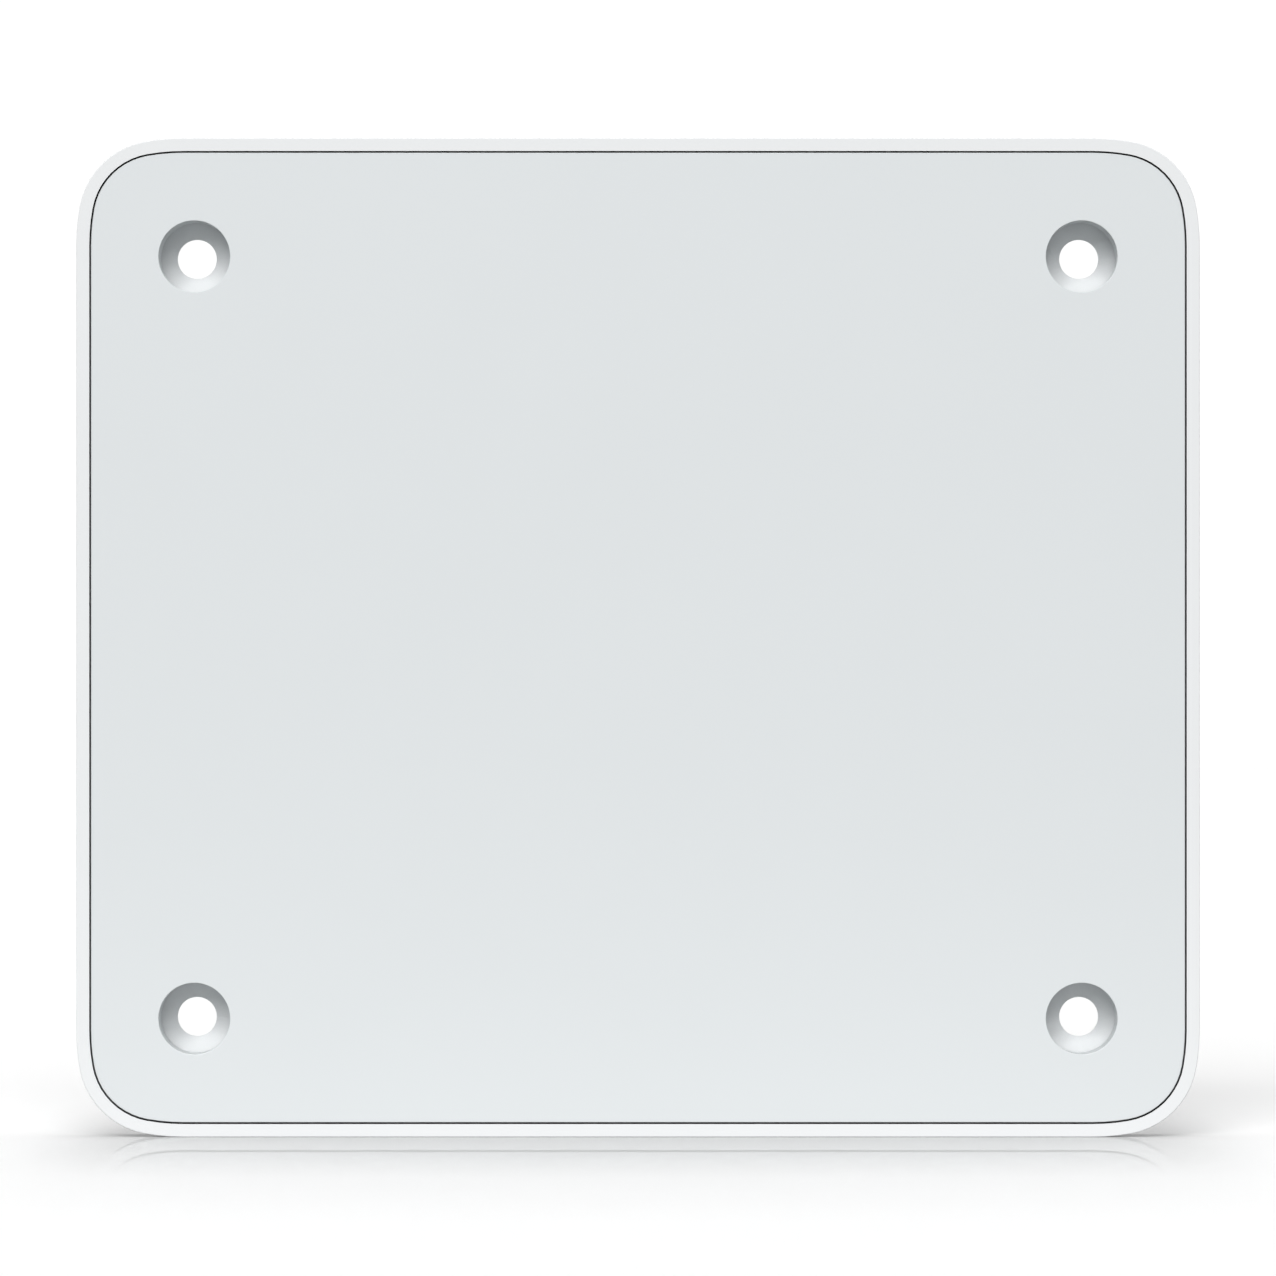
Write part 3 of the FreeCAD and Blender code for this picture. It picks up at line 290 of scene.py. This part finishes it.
RECIPES = {
    "white_shell": (moulded_plastic, dict(
        colour=linear(238, 240, 241), roughness=0.42, grain_size=0.16 * MM, grain_height=0.006 * MM)),
    "grey_plate": (moulded_plastic, dict(
        colour=linear(226, 230.4, 232), roughness=0.4, grain_size=0.12 * MM, grain_height=0.004 * MM)),
    "black_plastic": (moulded_plastic, dict(
        colour=linear(26, 26, 27), roughness=0.4, grain_size=0.15 * MM, grain_height=0.006 * MM)),
    "light_pipe": (moulded_plastic, dict(
        colour=linear(214, 222, 214), roughness=0.2, grain_size=0.3 * MM, grain_height=0.002 * MM)),
    "cast_box": (cast_metal, dict(colour=linear(196, 198, 200))),
    "steel_screws": (plated_metal, dict(colour=linear(200, 200, 198))),
    "brass_inserts": (plated_metal, dict(colour=linear(214, 184, 118))),
    "gold_contacts": (plated_metal, dict(colour=linear(236, 196, 112))),
    "sheet_metal": (sheet_metal, dict(
        colour=linear(214, 214, 215), roughness=0.35, stretch=(1, 1, 30))),
    "antenna_metal": (sheet_metal, dict(
        colour=linear(216, 214, 208), roughness=0.3, stretch=(20, 1, 1))),
    "tinned_cans": (sheet_metal, dict(
        colour=linear(208, 208, 206), roughness=0.3, stretch=(20, 1, 1))),
    "capacitor_metal": (sheet_metal, dict(
        colour=linear(206, 207, 210), roughness=0.3, stretch=(1, 20, 1))),
    "circuit_board": (speckled, dict(
        colour=linear(18, 74, 44), accent=linear(24, 88, 52), size=0.9 * MM, roughness=0.35)),
    "chip_black": (speckled, dict(
        colour=linear(34, 34, 36), accent=linear(44, 44, 46), size=0.12 * MM, roughness=0.55)),
    "ferrite": (speckled, dict(
        colour=linear(52, 50, 50), accent=linear(64, 62, 60), size=0.2 * MM, roughness=0.6)),
    "winding": (speckled, dict(
        colour=linear(196, 160, 70), accent=linear(206, 172, 84), size=1.2 * MM, roughness=0.35)),
    "thermal_pad": (speckled, dict(
        colour=linear(150, 176, 190), accent=linear(162, 186, 198), size=0.25 * MM, roughness=0.7)),
    "adhesive": (speckled, dict(
        colour=linear(228, 228, 220), accent=linear(236, 236, 230), size=0.3 * MM, roughness=0.8)),
    "label": (ruled_film, dict(
        colour=linear(234, 234, 232), line_colour=linear(150, 152, 154), columns=3, rows=4)),
}
MATERIALS = {name: maker(name, **settings) for name, (maker, settings) in RECIPES.items()}

for part in frame["record"]["subparts"]:
    mesh = nodes[part["node"]].data
    mesh.materials.clear()
    mesh.materials.append(MATERIALS[part["material_slot"]])


# Floor: a matt pale board. Its painted shade and its faint gloss stay close to the object and fade to
# bare.

FLOOR_HALF_WIDTH = 6.0
FLOOR_SHADE_REACH = 0.2
FLOOR_SHADE = (0.71, 0.71, 0.71, 1)
FULLY_SHADED = 0.5
FLOOR_FADE_X = (61 * MM, 79 * MM)
FLOOR_SPECULAR = 0.3
GLOSS = 0.3
GLOSS_ROUGHNESS = 0.02
GLOSS_FADE_Y = (30 * MM, 120 * MM)


def make_floor_material():
    """Bare white, with painted shade where the object closes off the sky and a share of clear gloss.
    """
    shader = Shader("studio_floor", roughness=0.6)
    axes = shader.add("ShaderNodeSeparateXYZ")
    shader.link(shader.place, axes.inputs["Vector"])

    def nearness(axis, near, far, weight=1.0):
        """This weight within the near distance along an axis, easing to nothing at the far one."""
        distance = shader.add("ShaderNodeMath", operation="ABSOLUTE")
        shader.link(axes.outputs[axis], distance.inputs[0])
        return map_range(shader.tree, distance.outputs["Value"], near, far, weight, 0.0, "SMOOTHSTEP")

    # Painted shadow: the floor's colour darkens where the object closes off the sky, fading out beside
    # it.
    openness = shader.openness(FLOOR_SHADE_REACH)
    shade = shader.ramp(openness, [(FULLY_SHADED, FLOOR_SHADE), (1.0, WHITE)])
    shader.colour(shader.mixed(WHITE, shade, nearness("X", *FLOOR_FADE_X)))
    shader.bsdf.inputs["Specular IOR Level"].default_value = FLOOR_SPECULAR

    gloss = shader.add("ShaderNodeBsdfAnisotropic")
    gloss.inputs["Roughness"].default_value = GLOSS_ROUGHNESS
    share = shader.add("ShaderNodeMath", operation="MULTIPLY")
    shader.link(nearness("X", *FLOOR_FADE_X, GLOSS), share.inputs[0])
    shader.link(nearness("Y", *GLOSS_FADE_Y), share.inputs[1])
    surface = mix_shaders(shader.tree, share.outputs["Value"],
                          shader.bsdf.outputs["BSDF"], gloss.outputs["BSDF"])
    output = next(node for node in shader.tree.nodes if node.type == "OUTPUT_MATERIAL")
    shader.link(surface, output.inputs["Surface"])
    return shader.material


def make_floor(level):
    """A wide pale floor at the object's lowest point, which throws no light or shadow back on it."""
    half = FLOOR_HALF_WIDTH
    corners = [(-half, -half, level), (half, -half, level), (half, half, level), (-half, half, level)]
    mesh = bpy.data.meshes.new("studio_floor")
    mesh.from_pydata(corners, [], [(0, 1, 2, 3)])
    floor = bpy.data.objects.new("studio_floor", mesh)
    scene.collection.objects.link(floor)
    mesh.materials.append(make_floor_material())
    floor.visible_diffuse = False
    floor.visible_glossy = False
    floor.visible_shadow = False


make_floor(cad_low.z)


# Lights and world. The world eases between two strengths where a direction's component along an
# axis lies within WORLD_EASE of nothing. The bounce is a long strip of light on the floor in front
# of the face, which stands in for the light that the floor would throw back.

WORLD_EASE = 0.25
BOUNCE_SHIFT = -90 * MM
BOUNCE_WIDTH = 360 * MM
BOUNCE_DEPTH = 50 * MM


def aim(lamp, place, target):
    """Put a lamp in its place, pointing at the target and unseen by the camera."""
    lamp.location = place
    lamp.rotation_euler = (Vector(target) - Vector(place)).to_track_quat("-Z", "Y").to_euler()
    lamp.visible_camera = False
    scene.collection.objects.link(lamp)


def make_area(name, place, target, size, power):
    """A flat rectangular light of this size in metres and power in watts."""
    light = bpy.data.lights.new(name, "AREA")
    light.shape = "RECTANGLE"
    light.size, light.size_y = size
    light.energy = power
    aim(bpy.data.objects.new(name, light), place, target)


def make_sky_panel(name, azimuth, elevation, spread, strength):
    """A distant soft light, with its angles in degrees, that falls evenly on floor and object."""
    light = bpy.data.lights.new(name, "SUN")
    light.angle = math.radians(spread)
    light.energy = strength
    across = math.radians(azimuth)
    up = math.radians(elevation)
    place = (math.sin(across) * math.cos(up), -math.cos(across) * math.cos(up), math.sin(up))
    aim(bpy.data.objects.new(name, light), place, (0, 0, 0))


def make_world(seen, room, backdrop):
    """A white world whose strength differs below and above the horizon, and from front to back.

    The room and the backdrop each have a strength below and above the horizon. The camera sees
    an even white of the strength seen instead.
    """
    world = bpy.data.worlds.new("studio")
    world.use_nodes = True
    scene.world = world
    tree = world.node_tree
    tree.nodes.clear()
    direction = tree.nodes.new("ShaderNodeTexCoord")
    axes = tree.nodes.new("ShaderNodeSeparateXYZ")
    tree.links.new(direction.outputs["Generated"], axes.inputs["Vector"])

    def step(axis, low, high):
        """Ease from the low strength to the high one across the middle of an axis."""
        return map_range(tree, axes.outputs[axis], -WORLD_EASE, WORLD_EASE, low, high, "SMOOTHSTEP")

    def background(strength):
        node = tree.nodes.new("ShaderNodeBackground")
        node.inputs["Color"].default_value = WHITE
        feed(tree, strength, node.inputs["Strength"])
        return node.outputs["Background"]

    lighting = background(step("Y", step("Z", *room), step("Z", *backdrop)))
    rays = tree.nodes.new("ShaderNodeLightPath")
    surface = mix_shaders(tree, rays.outputs["Is Camera Ray"], lighting, background(seen))
    output = tree.nodes.new("ShaderNodeOutputWorld")
    tree.links.new(surface, output.inputs["Surface"])


make_world(seen=1.05, room=(0.04, 0.25), backdrop=(0.45, 1.0))
make_sky_panel("key", azimuth=-6, elevation=28, spread=34, strength=2.77)
face_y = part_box("housing")[0].y
bounce_place = Vector((BOUNCE_SHIFT, face_y - BOUNCE_DEPTH / 2, cad_low.z))
above_bounce = bounce_place + Vector((0, 0, 1))
make_area("floor_bounce", bounce_place, above_bounce, size=(BOUNCE_WIDTH, BOUNCE_DEPTH), power=0.014)


# Camera.

def make_camera(distance, seen_width, drop, sink):
    """Square to the face, this far below its centre, with the frame's centre sunk a little too.

    The seen width is what the frame takes in across at the face.
    """
    camera = bpy.data.cameras.new("camera")
    camera.sensor_width = 36
    camera.lens = camera.sensor_width * distance / seen_width
    camera.shift_y = (drop - sink) / seen_width
    camera.clip_end = 50
    holder = bpy.data.objects.new("camera", camera)
    holder.location = (0, face_y - distance, -drop)
    holder.rotation_euler = (math.pi / 2, 0, 0)
    scene.collection.objects.link(holder)
    scene.camera = holder


make_camera(distance=1.21, seen_width=0.159, drop=7 * MM, sink=0.06 * MM)
scene.view_settings.view_transform = "Standard"
